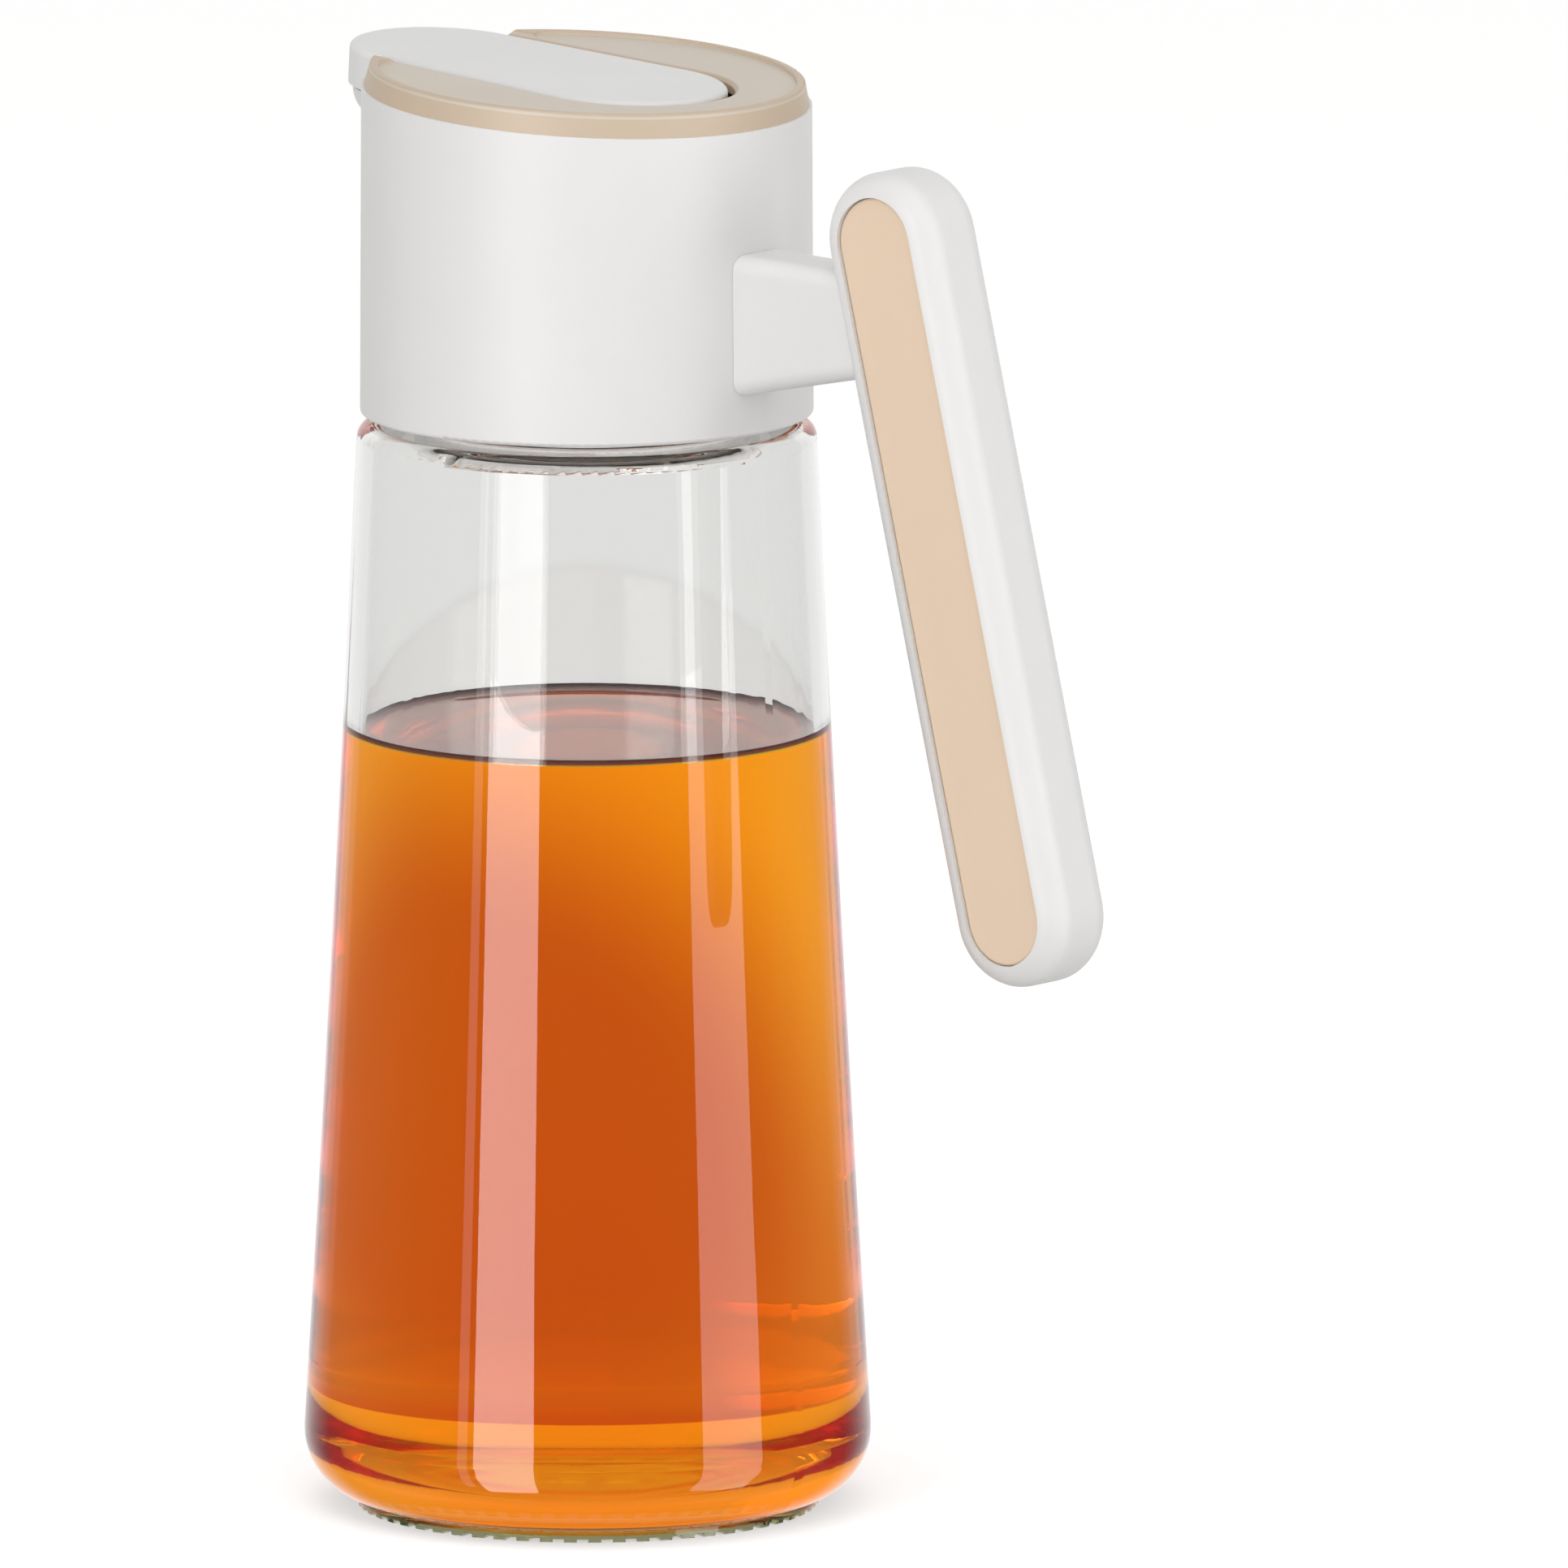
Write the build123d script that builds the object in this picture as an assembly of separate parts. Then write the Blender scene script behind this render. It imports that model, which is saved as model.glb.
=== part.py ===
from build123d import *
import os
from math import acos, cos, degrees, radians, sin, tan

# Oil pot: a tapering glass bottle, a pouring head that screws onto its neck, a side handle and a gravity lid.
# The head's cover slopes down towards the handle. A counterweight swings the lid open when the pot is tipped.
# Frame: +Z up, origin at the centre of the ring that the bottle stands on, handle on +X, spout on -X.
# Lengths are in millimetres and angles in degrees.

# Glass bottle, outside
ring_radius = 34.8           # outside of the bearing ring under the heel
ring_width = 3.4
ring_height = 1.5
ring_draft = 0.4             # the ring widens by this much towards the heel
punt_rise = 3.2              # the underside's dome, at its centre
punt_edge = 0.9              # the dome's height where it meets the ring
heel_height = 12.0
heel_radius = 42.65          # widest radius of the bottle, on top of the heel
shoulder_radius = 34.55
shoulder_height = 164.4
shoulder_round = 2.2
wall_sag = 0.3               # the flank curves in by this much from a straight cone
knurl_count = 60
knurl_width = 1.7
knurl_depth = 0.6
knurl_reach = 2.2            # how far the knurls cut into the ring, which stays whole inside them
lug_width = 8.5              # small moulded lug on the shoulder, in front
lug_height = 1.6
lug_proud = 0.5
lug_round = 0.4
lug_angle = -50.0

# Glass bottle, inside
glass_wall = 2.6
floor_height = 5.0           # the cavity's floor above the ground
floor_crown = 1.2
cavity_corner = 8.0
shoulder_glass = 1.8         # glass thickness of the flat shoulder
cavity_shoulder_round = 1.0

# Neck and its thread
neck_radius = 24.5
neck_wall = 3.0
neck_length = 20.5
neck_rim_round = 1.0
neck_root_round = 1.2
thread_pitch = 5.0
thread_turns = 1.5
thread_width = 2.0
thread_crest = 1.0
thread_height = 1.2
thread_start = 6.0           # height of the glass thread's start above the shoulder
thread_root = 0.4            # how far a ridge is rooted in its wall
thread_mesh = 1.38           # the cap's ridge lies this far below the bottle's, just clear of it

# Oil
oil_level = 118.0
oil_film = 0.1               # clearance between the oil and the glass

# Collar: the white sleeve of the head
collar_gap = 1.6             # between the glass shoulder and the collar
collar_wall = 1.8
collar_taper = 0.25          # the collar is smaller at its top by this much
screw_room = 4.6             # between the cap's skirt and the collar's bore, for the screws
collar_axis_height = 48.0    # from the lower edge up to the sloping seam, on the axis
collar_edge_round = 0.6
slope = 3.43                 # of the seam and the cover, falling towards the handle
ledge_width = 3.0
ledge_thickness = 2.0
screw_boss_radius = 2.4
screw_boss_length = 8.0
beak_radius = 13.5           # the beak under the lid's nose, at its top
beak_waist_inset = 0.4       # its lower sections lie this far inward of the nose's centre
beak_waist_radius = 13.3
beak_foot_inset = 5.8
beak_foot_radius = 11.0
beak_waist_drop = 5.6        # below the seam plane
beak_foot_drop = 8.0

# Threaded cap inside the collar
cap_clearance = 0.3          # thread crest to wall, and cap to collar
cap_wall = 1.6
cap_flange = 2.0
cap_opening_step = 2.5       # the cap's opening is smaller than the neck's bore by this much
cap_lift = 2.5               # lower edge of the skirt above the shoulder
rib_thickness = 1.2
rib_angles = (25, 90, 155, 205, 270, 335)
gasket_thickness = 1.5
gasket_inset = 0.3           # from the neck's bore to the gasket's hole
gasket_overhang = 1.1        # past the neck's outside
seat_gap = 0.05              # left between faces that seat on each other

# Screws that hold the cap and the pourer up against the collar's ledge
cap_screw_angles = (50, 130, 230, 310)
cap_screw_radius = 1.1
cap_screw_head_radius = 1.9
cap_screw_head = 1.6
cap_screw_length = 10.0
screw_clearance = 0.2
thread_fit = 0.02            # radial gap between a screw or pin and the hole that holds it

# Pourer: a plate with the spout's duct, a plug and an air tube
pourer_plate = 1.6
pourer_clearance = 0.4
plug_length = 5.0
plug_wall = 2.0
ring_section = 0.6           # half the thickness of the plug's sealing ring
ring_drop = 2.6              # the sealing ring's middle below the plate
stop_wall = 2.0
stop_wall_half_width = 8.0
stop_wall_margin = 2.5       # the wall's top above the counterweight's middle where they meet
stop_gap = 0.15
duct_wall = 1.3
duct_foot_x = -16.0
duct_foot_half_x = 6.5
duct_foot_half_y = 9.0
duct_throat_inset = 3.8      # the duct's throat and mouth, from the nose's centre
duct_throat_height = 18.0    # above the plate
duct_throat_half_x = 6.0
duct_throat_half_y = 9.0
duct_mouth_reach = 2.6
duct_mouth_half_x = 8.0
duct_mouth_half_y = 10.0
duct_mouth_drop = 1.5        # the mouth's rim below the seam plane
duct_clearance = 0.35        # to the collar around it
air_tube_x = 10.0
air_tube_y = 16.5
air_tube_radius = 2.8
air_tube_bore_radius = 1.6
air_tube_height = 8.0
valve_wall = 0.8
valve_lap = 3.0              # how far the air valve's skirt reaches down the tube
valve_rise = 3.5             # from the tube's end to the valve's lips
valve_lip = 0.9              # half the thickness across the lips
valve_slit = 0.15

# Cover: the beige disc on top, open in a U for the lid
cover_inset = 0.6            # the cover's edge from the collar's, where it sits on it
cover_taper = 0.8
cover_height = 3.5
cover_rim_width = 1.3
cover_recess = 0.6           # the floor below the rim
cover_recess_corner = 2.5
cover_plate = 1.8
cover_rim_round = 0.4
cover_skirt = 6.0
cover_skirt_wall = 1.5
cover_skirt_clearance = 0.45 # wide, as the skirt slants in an upright bore
cover_slot_bevel = 0.6
bead_drop = 4.2              # snap bead below the seam
bead_height = 0.8
bead_clearance = 0.2
bead_width = 1.2
cheek_thickness = 2.0
cheek_length = 11.0
cheek_drop = 5.2

# Lid: a flap that fills the cover's U and hoods the spout
lid_tail_x = 7.3
lid_tail_radius = 15.5
lid_nose_inset = 4.4         # the nose's centre inside the cover's top edge
lid_nose_radius = 14.2
lid_gap = 1.1                # all round the lid
lid_top = 3.1                # above the seam plane
lid_skin = 1.6
lid_wall = 1.5
lid_side_drop = 2.8
lid_hood_drop = 6.1
lid_hood_reach = 1.3         # the hood is deeper from this far past the nose's centre
lid_edge_round = 1.0
hood_clearance = 0.5
lid_travel = 65.0            # the swing at which the counterweight meets the stop wall

# Hinge, carrier and counterweight
hinge_x = 8.0
hinge_drop = 1.6             # below the seam plane
pin_radius = 1.25
pin_running_clearance = 0.06
hinge_boss_radius = 2.75
hinge_boss_side_gap = 0.3
hinge_boss_lap = 3.0         # how far a boss reaches inside the counterweight's arm
carrier_drop = 1.8           # top of the carrier's plate below the seam plane
carrier_plate = 1.6
carrier_front_x = -14.0
carrier_back_x = 14.5
carrier_half_width = 11.5
carrier_corner = 2.0
weight_x = 12.0
weight_drop = 12.0
weight_radius = 5.0
weight_half_length = 10.0
weight_chamfer = 0.5
weight_stub_radius = 2.5
arm_gap = 0.3
arm_thickness = 1.8
arm_end_radius = 4.4
arm_root_x = 9.0             # middle and length of the arm's root under the plate
arm_root_length = 11.0
lid_screw_x = -9.0
lid_screw_y = 6.0
lid_screw_radius = 0.9
lid_screw_length = 4.0
lid_screw_head_radius = 1.7
lid_screw_head = 1.1
lid_boss_radius = 2.2

# Seal under the lid's nose
seal_half_x = 8.6
seal_half_y = 10.8
seal_gap = 0.15
seal_edge_round = 0.5

# Handle: bracket and grip in one moulding, with a beige inlay on each side
# Its heights are counted from the collar's lower edge.
grip_reach = 40.0            # from the collar's outside to the middle of the grip
grip_drop = 17.15            # the middle of the grip below the collar's edge
grip_lean = 14.1             # the lower end swings out from the bottle
grip_length = 102.2          # between the centres of its round ends
grip_width = 21.0
grip_thickness = 13.8
grip_edge_round = 4.0
grip_web = 2.0
bracket_thickness = 11.5
bracket_rises = (5.8, 27.7)        # lower and upper edge at the collar
bracket_grip_rises = (13.0, 26.8)  # and at the grip
bracket_root = 3.0                 # how far its outline starts inside the collar
bracket_edge_round = 2.4
inlay_width = 13.8
inlay_thickness = 1.6
inlay_recess = 0.5
inlay_clearance = 0.1
inlay_edge_round = 0.5
core_wall = 2.0              # from the inlay's edge to the hollow behind it
core_lap = 0.5               # how far two cuts or joined forms reach into each other
stud_radius = 1.5
stud_length = 3.2
stud_boss_radius = 3.2
stud_spacing = 38.0
stud_end_gap = 0.2           # under a stud's hole, to the web
handle_screw_rises = (11.2, 18.0)
handle_screw_radius = 1.5
handle_screw_length = 13.0
handle_screw_head_radius = 2.3
handle_screw_head = 1.5

# Sizes that follow from the values above
neck_bore_radius = neck_radius - neck_wall
cap_opening_radius = neck_bore_radius - cap_opening_step
cap_inner_radius = neck_radius + thread_height + cap_clearance
cap_outer_radius = cap_inner_radius + cap_wall
collar_bore = cap_outer_radius + screw_room
collar_radius = collar_bore + collar_wall
cap_screw_circle = collar_bore - screw_boss_radius
cap_flange_radius = collar_bore - cap_clearance
cover_radius = collar_radius - cover_inset
cover_top_radius = cover_radius - cover_taper
lid_nose_x = lid_nose_inset - cover_top_radius
grip_x = collar_radius + grip_reach
neck_top = shoulder_height + neck_length
collar_foot = shoulder_height + collar_gap
seam_height = collar_foot + collar_axis_height
grip_z = collar_foot - grip_drop
handle_screw_heights = [collar_foot + rise for rise in handle_screw_rises]
flange_foot = neck_top + gasket_thickness
plate_foot = flange_foot + cap_flange + seat_gap
plate_top = plate_foot + pourer_plate
air_tube_top = plate_top + air_tube_height
ring_circle = cap_opening_radius - seat_gap - ring_section
ledge_foot = plate_top + seat_gap

# The seam plane carries the cover and the lid. Its x runs down the slope and its origin is on the pot's axis.
seam = Plane(
    origin=(0, 0, seam_height),
    x_dir=(cos(radians(slope)), 0, -sin(radians(slope))),
    z_dir=(sin(radians(slope)), 0, cos(radians(slope))),
)


def disc(radius, low, high):
    """A disc about the Z axis between two heights."""
    return Pos(0, 0, low) * extrude(Circle(radius), high - low)


def ring(inner, outer, low, high):
    """A flat ring or tube about the Z axis between two heights."""
    return Pos(0, 0, low) * extrude(Circle(outer) - Circle(inner), high - low)


def rod(radius, start, end):
    """A round rod from one point to another."""
    axis = Vector(*end) - Vector(*start)
    return extrude(Plane(origin=start, z_dir=axis) * Circle(radius), axis.length)


def upright(radius, x, y, low, high):
    """A round post parallel to the Z axis."""
    return rod(radius, (x, y, low), (x, y, high))


def on_seam(x, y, z):
    """A point given in the seam plane's frame, as a point of the pot."""
    return tuple(seam.from_local_coords((x, y, z)))


def seam_rise(edge):
    """How far the middle of an edge is above the seam plane."""
    return (edge @ 0.5 - seam.origin).dot(seam.z_dir)


def cylinder_on_seam(radius, x, y, low, high):
    """A round post square to the seam plane."""
    return rod(radius, on_seam(x, y, low), on_seam(x, y, high))


def cross_rod(radius, x, z, y_from, y_to):
    """A round rod across the pot at a point of the seam plane's frame."""
    return rod(radius, on_seam(x, y_from, z), on_seam(x, y_to, z))


def polar(radius, angle):
    """A point on a circle about the Z axis."""
    return radius * cos(radians(angle)), radius * sin(radians(angle))


def revolved(edges):
    """A solid turned about the Z axis from a closed outline drawn as radius against height."""
    return revolve(Plane.XZ * make_face(edges), Axis.Z)


def at(r, z):
    """A point of an outline, as radius and height."""
    return Vector(r, z)


def quarter(start, end, corner):
    """A quarter of a circle between two points of an outline, rounding off the corner between them."""
    centre = start + end - corner
    return ThreePointArc(start, centre + (corner - centre) * sin(radians(45)), end)


def flank(inset, low, high):
    """The bottle's flank between two heights, moved in from the outside by the glass thickness."""
    run = shoulder_height - shoulder_round - heel_height

    def radius(z):
        share = (z - heel_height) / run
        straight = heel_radius + (shoulder_radius - heel_radius) * share
        return straight - 4 * wall_sag * share * (1 - share) - inset

    middle = (low + high) / 2
    return ThreePointArc(at(radius(low), low), at(radius(middle), middle), at(radius(high), high))


def bottle_outside():
    """The bottle as if it were solid glass."""
    side = flank(0, heel_height, shoulder_height - shoulder_round)
    ring_top = at(ring_radius + ring_draft, ring_height)
    heel = TangentArc(side @ 0, ring_top, tangent=-(side % 0))
    inner_ring = ring_radius - ring_width
    punt = TangentArc(at(0, punt_rise), at(inner_ring, punt_edge), tangent=(1, 0, 0))
    round_end = at(shoulder_radius - shoulder_round, shoulder_height)
    shoulder = TangentArc(side @ 1, round_end, tangent=side % 1)
    root = quarter(
        at(neck_radius + neck_root_round, shoulder_height),
        at(neck_radius, shoulder_height + neck_root_round),
        at(neck_radius, shoulder_height),
    )
    rim = quarter(
        at(neck_radius, neck_top - neck_rim_round),
        at(neck_radius - neck_rim_round, neck_top),
        at(neck_radius, neck_top),
    )
    outline = [
        Line(at(0, neck_top), at(0, punt_rise)),
        punt,
        Polyline(punt @ 1, at(inner_ring, 0), at(ring_radius, 0), ring_top),
        heel,
        side,
        shoulder,
        Line(shoulder @ 1, root @ 0),
        root,
        Line(root @ 1, rim @ 0),
        rim,
        Line(rim @ 1, at(0, neck_top)),
    ]
    return revolved(outline)


def cavity(shrink=0.0):
    """The space inside the bottle, up through the neck, made smaller all round by a clearance."""
    inset = glass_wall + shrink
    floor = floor_height + shrink
    roof = shoulder_height - shoulder_glass - shrink
    bore = neck_bore_radius - shrink
    wall = flank(inset, floor + cavity_corner, roof - cavity_shoulder_round)
    floor_edge = at((wall @ 0).X - cavity_corner, floor)
    corner = TangentArc(wall @ 0, floor_edge, tangent=-(wall % 0))
    crown = TangentArc(at(0, floor + floor_crown), floor_edge, tangent=(1, 0, 0))
    under_shoulder = at((wall @ 1).X - cavity_shoulder_round, roof)
    shoulder = TangentArc(wall @ 1, under_shoulder, tangent=wall % 1)
    throat_round = shoulder_glass - neck_root_round
    throat = quarter(at(bore + throat_round, roof), at(bore, roof + throat_round), at(bore, roof))
    mouth = neck_top + 1
    outline = [
        crown,
        corner,
        wall,
        shoulder,
        Line(shoulder @ 1, throat @ 0),
        throat,
        Line(throat @ 1, at(bore, mouth)),
        Line(at(bore, mouth), at(0, mouth)),
        Line(at(0, mouth), at(0, floor + floor_crown)),
    ]
    return revolved(outline)


def thread_ridge(radius, start, outward):
    """One screw thread, standing outward or inward from a wall of this radius."""
    side = 1 if outward else -1
    path = Pos(0, 0, start) * Helix(thread_pitch, thread_pitch * thread_turns, radius)
    section_plane = Plane(origin=path @ 0, x_dir=(side, 0, 0), z_dir=path % 0)
    section = section_plane * make_face(
        Polyline(
            (-thread_root, -thread_width / 2),
            (thread_height, -thread_crest / 2),
            (thread_height, thread_crest / 2),
            (-thread_root, thread_width / 2),
            close=True,
        )
    )
    return sweep(section, path=path, is_frenet=True)


def shoulder_lug():
    """The small moulded lug that shows on the glass just under the collar."""
    low = shoulder_height - shoulder_round - lug_height
    outer = heel_radius + (shoulder_radius - heel_radius) + lug_proud
    block = Pos(outer - glass_wall / 2, 0, low + lug_height / 2) * Box(glass_wall, lug_width, lug_height)
    return Rot(0, 0, lug_angle) * fillet(block.edges().group_by(Axis.X)[-1], lug_round)


def glass_bottle():
    """Pressed and blown glass, with a knurled ring to stand on and a screw thread on its neck."""
    body = bottle_outside() - cavity()
    body += thread_ridge(neck_radius, shoulder_height + thread_start, outward=True)
    notch = Pos(ring_radius, 0, 0) * Box(2 * knurl_reach, knurl_width, 2 * knurl_depth)
    half_step = 180 / knurl_count
    notches = [Rot(0, 0, half_step + 2 * half_step * i) * notch for i in range(knurl_count)]
    return body - notches


def oil():
    """The oil that the bottle holds, up to its level."""
    above = Pos(0, 0, oil_level + neck_top / 2) * Box(2 * heel_radius, 2 * heel_radius, neck_top)
    return cavity(oil_film) - above


def neck_gasket():
    """Silicone ring between the glass rim and the cap."""
    inner = neck_bore_radius + gasket_inset
    return ring(inner, neck_radius + gasket_overhang, neck_top + seat_gap, flange_foot)


def threaded_cap():
    """The cap that screws onto the neck: a threaded skirt, a flange and ribs that centre it in the collar."""
    foot = shoulder_height + cap_lift
    body = ring(cap_inner_radius, cap_outer_radius, foot, flange_foot)
    body += ring(cap_opening_radius, cap_flange_radius, flange_foot, flange_foot + cap_flange)
    rib_length = cap_flange_radius - cap_outer_radius
    rib_height = flange_foot - foot
    rib = Pos(cap_outer_radius + rib_length / 2, 0, foot + rib_height / 2) * Box(
        rib_length + cap_wall, rib_thickness, rib_height
    )
    trim = ring(cap_inner_radius, cap_flange_radius, foot, flange_foot + cap_flange)
    body += [Rot(0, 0, angle) * rib & trim for angle in rib_angles]
    start = shoulder_height + thread_start - thread_mesh
    body += thread_ridge(cap_inner_radius, start, outward=False)
    hole = cap_screw_radius + screw_clearance
    for angle in cap_screw_angles:
        body -= upright(hole, *polar(cap_screw_circle, angle), flange_foot - 1, plate_foot)
    return body


def duct(grow):
    """The spout's duct as a solid, from the plate to its mouth under the lid, grown by a margin."""
    foot = Plane.XY.offset(plate_foot) * Pos(duct_foot_x, 0) * Ellipse(
        duct_foot_half_x + grow, duct_foot_half_y + grow
    )
    throat = Plane.XY.offset(plate_top + duct_throat_height) * Pos(lid_nose_x + duct_throat_inset, 0)
    throat *= Ellipse(duct_throat_half_x + grow, duct_throat_half_y + grow)
    mouth = seam.offset(-duct_mouth_drop) * Pos(lid_nose_x - duct_mouth_reach, 0)
    mouth *= Ellipse(duct_mouth_half_x + grow, duct_mouth_half_y + grow)
    return loft([foot, throat, mouth])


def stop():
    """The wall that stops the counterweight, and with it the lid, at the end of its swing."""
    swing = radians(lid_travel)
    lever_x, lever_z = weight_x - hinge_x, hinge_drop - weight_drop
    meet_x = hinge_x + lever_x * cos(swing) + lever_z * sin(swing)
    meet_z = -hinge_drop - lever_x * sin(swing) + lever_z * cos(swing)
    face_x = meet_x - weight_radius - stop_gap
    top = meet_z + stop_wall_margin
    low = plate_foot - seam_height
    centre = Pos(face_x - stop_wall / 2, 0, (top + low) / 2)
    return seam.location * centre * Box(stop_wall, 2 * stop_wall_half_width, top - low)


def pourer():
    """The pouring insert: plate, plug, duct to the spout and a tube that lets air back in."""
    plate_radius = collar_bore - pourer_clearance
    plug_radius = cap_opening_radius - pourer_clearance
    body = disc(plate_radius, plate_foot, plate_top)
    body += ring(plug_radius - plug_wall, plug_radius, plate_foot - plug_length, plate_top)
    body += duct(0) + upright(air_tube_radius, air_tube_x, air_tube_y, plate_foot, air_tube_top)
    body += stop() & disc(plate_radius, plate_foot + pourer_plate / 2, seam_height)
    body -= duct(-duct_wall)
    body -= upright(air_tube_bore_radius, air_tube_x, air_tube_y, plate_foot - 1, air_tube_top + 1)
    groove = plate_foot - ring_drop
    depth = ring_section + seat_gap
    body -= ring(ring_circle - depth, cap_opening_radius, groove - depth, groove + depth)
    hole = cap_screw_radius + screw_clearance
    for angle in cap_screw_angles:
        body -= upright(hole, *polar(cap_screw_circle, angle), plate_foot - 1, plate_top + 1)
    return body


def plug_ring():
    """The round silicone ring that seals the plug in the cap's opening."""
    return Pos(0, 0, plate_foot - ring_drop) * Torus(ring_circle, ring_section)


def air_valve():
    """The silicone duckbill on the air tube: it lets air in and keeps oil out."""
    inner = air_tube_radius + seat_gap
    outer = inner + valve_wall
    bill = loft([Pos(0, 0, seat_gap) * Circle(outer), Pos(0, 0, valve_rise) * Ellipse(outer, valve_lip)])
    throat = loft(
        [
            Pos(0, 0, seat_gap) * Circle(air_tube_bore_radius),
            Pos(0, 0, valve_rise) * Ellipse(air_tube_bore_radius, valve_slit),
        ]
    )
    skirt = Pos(0, 0, -valve_lap) * extrude(Circle(outer) - Circle(inner), valve_lap + seat_gap)
    return Pos(air_tube_x, air_tube_y, air_tube_top) * (bill - throat + skirt)


def collar_outside(grow=0.0):
    """The collar's outer form before its top is cut to the slope."""
    top = seam_height + collar_radius * tan(radians(slope)) + 1
    top_radius = collar_radius - collar_taper
    outline = Polyline(
        at(0, collar_foot),
        at(collar_radius + grow, collar_foot),
        at(top_radius + grow, top),
        at(0, top),
        close=True,
    )
    return revolved(outline)


def beak():
    """The lip outside the collar that carries the spout under the lid's nose."""
    sections = [
        (beak_foot_drop, beak_foot_inset, beak_foot_radius),
        (beak_waist_drop, beak_waist_inset, beak_waist_radius),
        (lid_hood_drop - lid_top + hood_clearance, 0, beak_radius),
    ]
    circles = [
        seam.offset(-drop) * Pos(lid_nose_x + inset, 0) * Circle(radius)
        for drop, inset, radius in sections
    ]
    body = loft(circles)
    return body - disc(collar_bore, collar_foot, seam_height + collar_radius)


def collar():
    """The head's sleeve, cut off at the slope, with a ledge and screw bosses inside and a beak."""
    body = collar_outside()
    body = fillet(body.edges().group_by(Axis.Z)[0], collar_edge_round)
    top = seam_height + collar_radius
    body -= disc(collar_bore, collar_foot - 1, ledge_foot)
    body -= disc(collar_bore - ledge_width, collar_foot, top)
    body -= disc(collar_bore, ledge_foot + ledge_thickness, top)
    boss_top = ledge_foot + screw_boss_length
    for angle in cap_screw_angles:
        post = upright(screw_boss_radius, *polar(cap_screw_circle, angle), ledge_foot, boss_top)
        body += post & disc(collar_bore + collar_wall / 2, ledge_foot, top)
    for angle in cap_screw_angles:
        tip = flange_foot + cap_screw_length + screw_clearance
        body -= upright(cap_screw_radius + thread_fit, *polar(cap_screw_circle, angle), collar_foot, tip)
    for height in handle_screw_heights:
        hole = handle_screw_radius + screw_clearance
        body -= rod(hole, (cap_outer_radius, 0, height), (collar_radius + 1, 0, height))
        spot = handle_screw_head_radius + screw_clearance
        body -= rod(spot, (cap_outer_radius, 0, height), (collar_bore, 0, height))
    body = split(body, bisect_by=seam, keep=Keep.BOTTOM)
    body -= bead(bead_height + bead_clearance)
    body -= lid_form(lid_gap, lid_top - lid_hood_drop - hood_clearance, lid_top)
    return body + beak() - duct(duct_clearance)


def bead(height):
    """The snap bead round the cover's skirt, or with more height the groove that takes it."""
    outer = collar_bore - cover_skirt_clearance
    half = bead_width / 2 * (height / bead_height)
    root = outer - cover_skirt_wall / 2
    outline = Polyline(
        at(root, -bead_drop - half),
        at(outer, -bead_drop - half),
        at(outer + height, -bead_drop),
        at(outer, -bead_drop + half),
        at(root, -bead_drop + half),
        close=True,
    )
    return seam.location * revolved(outline)


def lid_outline(grow=0.0):
    """The lid from above, in the seam plane: a round tail, straight flanks and a smaller round nose."""
    tail = lid_tail_radius + grow
    nose = lid_nose_radius + grow
    turn = acos((tail - nose) / (lid_nose_x - lid_tail_x))
    across, along = sin(turn), cos(turn)
    tail_side = (lid_tail_x + tail * along, tail * across)
    nose_side = (lid_nose_x + nose * along, nose * across)
    return make_face(
        [
            ThreePointArc((tail_side[0], -tail_side[1]), (lid_tail_x + tail, 0), tail_side),
            Line(tail_side, nose_side),
            ThreePointArc(nose_side, (lid_nose_x - nose, 0), (nose_side[0], -nose_side[1])),
            Line((nose_side[0], -nose_side[1]), (tail_side[0], -tail_side[1])),
        ]
    )


def lid_form(grow, low, high):
    """The lid's outline as a solid between two heights over the seam plane."""
    return extrude(seam.offset(low) * lid_outline(grow), high - low)


def in_front_of(x, low, high):
    """A block on the spout's side of a line across the seam plane."""
    depth = 60
    centre = seam.location * Pos(x - depth / 2, 0, (low + high) / 2)
    return centre * Box(depth, depth, high - low)


def lid_flap():
    """The white lid: a thin skin with a shallow skirt, deeper round the nose where it hoods the spout."""
    hood_low = lid_top - lid_hood_drop
    side_low = lid_top - lid_side_drop
    body = lid_form(0, side_low, lid_top)
    body += lid_form(0, hood_low, lid_top) & in_front_of(lid_nose_x - lid_hood_reach, hood_low, lid_top)
    body = fillet([e for e in body.edges() if abs(seam_rise(e) - lid_top) < 0.01], lid_edge_round)
    body -= lid_form(-lid_wall, hood_low - 1, lid_top - lid_skin)
    for side in (-1, 1):
        y = side * lid_screw_y
        foot = -carrier_drop + seat_gap
        body += cylinder_on_seam(lid_boss_radius, lid_screw_x, y, foot, lid_top - lid_skin / 2)
        hole_end = lid_screw_length - carrier_plate - carrier_drop + screw_clearance
        body -= cylinder_on_seam(lid_screw_radius + thread_fit, lid_screw_x, y, -carrier_drop - 1, hole_end)
    return body


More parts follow.
